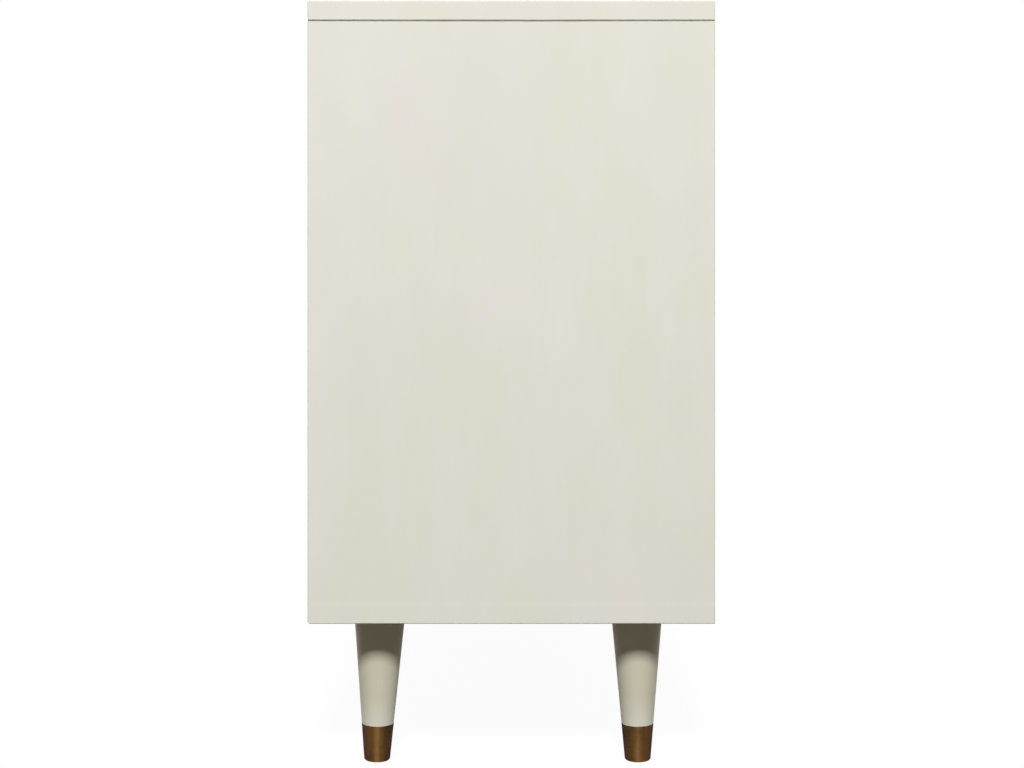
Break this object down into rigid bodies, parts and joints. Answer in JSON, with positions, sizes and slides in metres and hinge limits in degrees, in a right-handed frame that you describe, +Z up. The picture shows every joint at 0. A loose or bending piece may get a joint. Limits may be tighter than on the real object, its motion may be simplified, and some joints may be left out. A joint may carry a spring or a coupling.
{
  "type": "buffet",
  "caption": "Painted buffet with inset doors and drawers, recessed round pulls and turned, tapered legs with metal ferrules.",
  "frame": {"origin": "on the floor, under the middle of the case", "axes": "+Z up, +X towards the right-hand end as seen from the front, -Y towards the front"},
  "size_m": [1.524, 0.457, 0.8735],
  "materials": {
    "paint": "satin ivory paint on wood",
    "drawer_wood": "clear satin maple",
    "drawer_ply": "clear satin plywood",
    "brass": "antique brass, satin",
    "steel": "zinc plated",
    "nylon": "matt"
  },
  "bodies": {
    "case": {"top_panel": "paint", "bottom_panel": "paint", "left_end_panel": "paint", "right_end_panel": "paint", "left_divider": "paint", "right_divider": "paint", "back_panel": "paint", "left_shelf": "paint", "right_shelf": "paint", "shelf_pins": "brass", "front_left_leg": "paint", "front_right_leg": "paint", "back_left_leg": "paint", "back_right_leg": "paint", "front_left_ferrule": "brass", "front_right_ferrule": "brass", "back_left_ferrule": "brass", "back_right_ferrule": "brass", "glides": "nylon", "leg_bolts": "steel", "leg_inserts": "brass", "left_drawer_runners": "drawer_wood", "right_drawer_runners": "drawer_wood", "left_upper_case_leaf": "brass", "left_lower_case_leaf": "brass", "right_upper_case_leaf": "brass", "right_lower_case_leaf": "brass", "hinge_pins": "brass", "case_hinge_screws": "brass", "catches": "nylon"},
    "left_door": {"left_door": "paint", "left_door_pull": "brass", "left_upper_door_leaf": "brass", "left_lower_door_leaf": "brass", "left_door_hinge_screws": "brass", "left_strike": "steel"},
    "right_door": {"right_door": "paint", "right_door_pull": "brass", "right_upper_door_leaf": "brass", "right_lower_door_leaf": "brass", "right_door_hinge_screws": "brass", "right_strike": "steel"},
    "top_drawer": {"top_drawer_front": "paint", "top_drawer_left_side": "drawer_wood", "top_drawer_right_side": "drawer_wood", "top_drawer_back": "drawer_wood", "top_drawer_bottom": "drawer_ply", "top_drawer_pull": "brass"},
    "middle_drawer": {"middle_drawer_front": "paint", "middle_drawer_left_side": "drawer_wood", "middle_drawer_right_side": "drawer_wood", "middle_drawer_back": "drawer_wood", "middle_drawer_bottom": "drawer_ply", "middle_drawer_pull": "brass"},
    "bottom_drawer": {"bottom_drawer_front": "paint", "bottom_drawer_left_side": "drawer_wood", "bottom_drawer_right_side": "drawer_wood", "bottom_drawer_back": "drawer_wood", "bottom_drawer_bottom": "drawer_ply", "bottom_drawer_pull": "brass"}
  },
  "joints": [
    {"name": "left_door_hinge", "type": "hinge", "parent": "case", "child": "left_door", "pos_m": [-0.739, -0.2235, 0.52425], "axis": [0, 0, -1], "range_deg": [0, 95]},
    {"name": "right_door_hinge", "type": "hinge", "parent": "case", "child": "right_door", "pos_m": [0.739, -0.2235, 0.52425], "axis": [0, 0, 1], "range_deg": [0, 95]},
    {"name": "top_drawer_slide", "type": "slide", "parent": "case", "child": "top_drawer", "axis": [0, -1, 0], "range_m": [0, 0.28]},
    {"name": "middle_drawer_slide", "type": "slide", "parent": "case", "child": "middle_drawer", "axis": [0, -1, 0], "range_m": [0, 0.28]},
    {"name": "bottom_drawer_slide", "type": "slide", "parent": "case", "child": "bottom_drawer", "axis": [0, -1, 0], "range_m": [0, 0.28]}
  ]
}
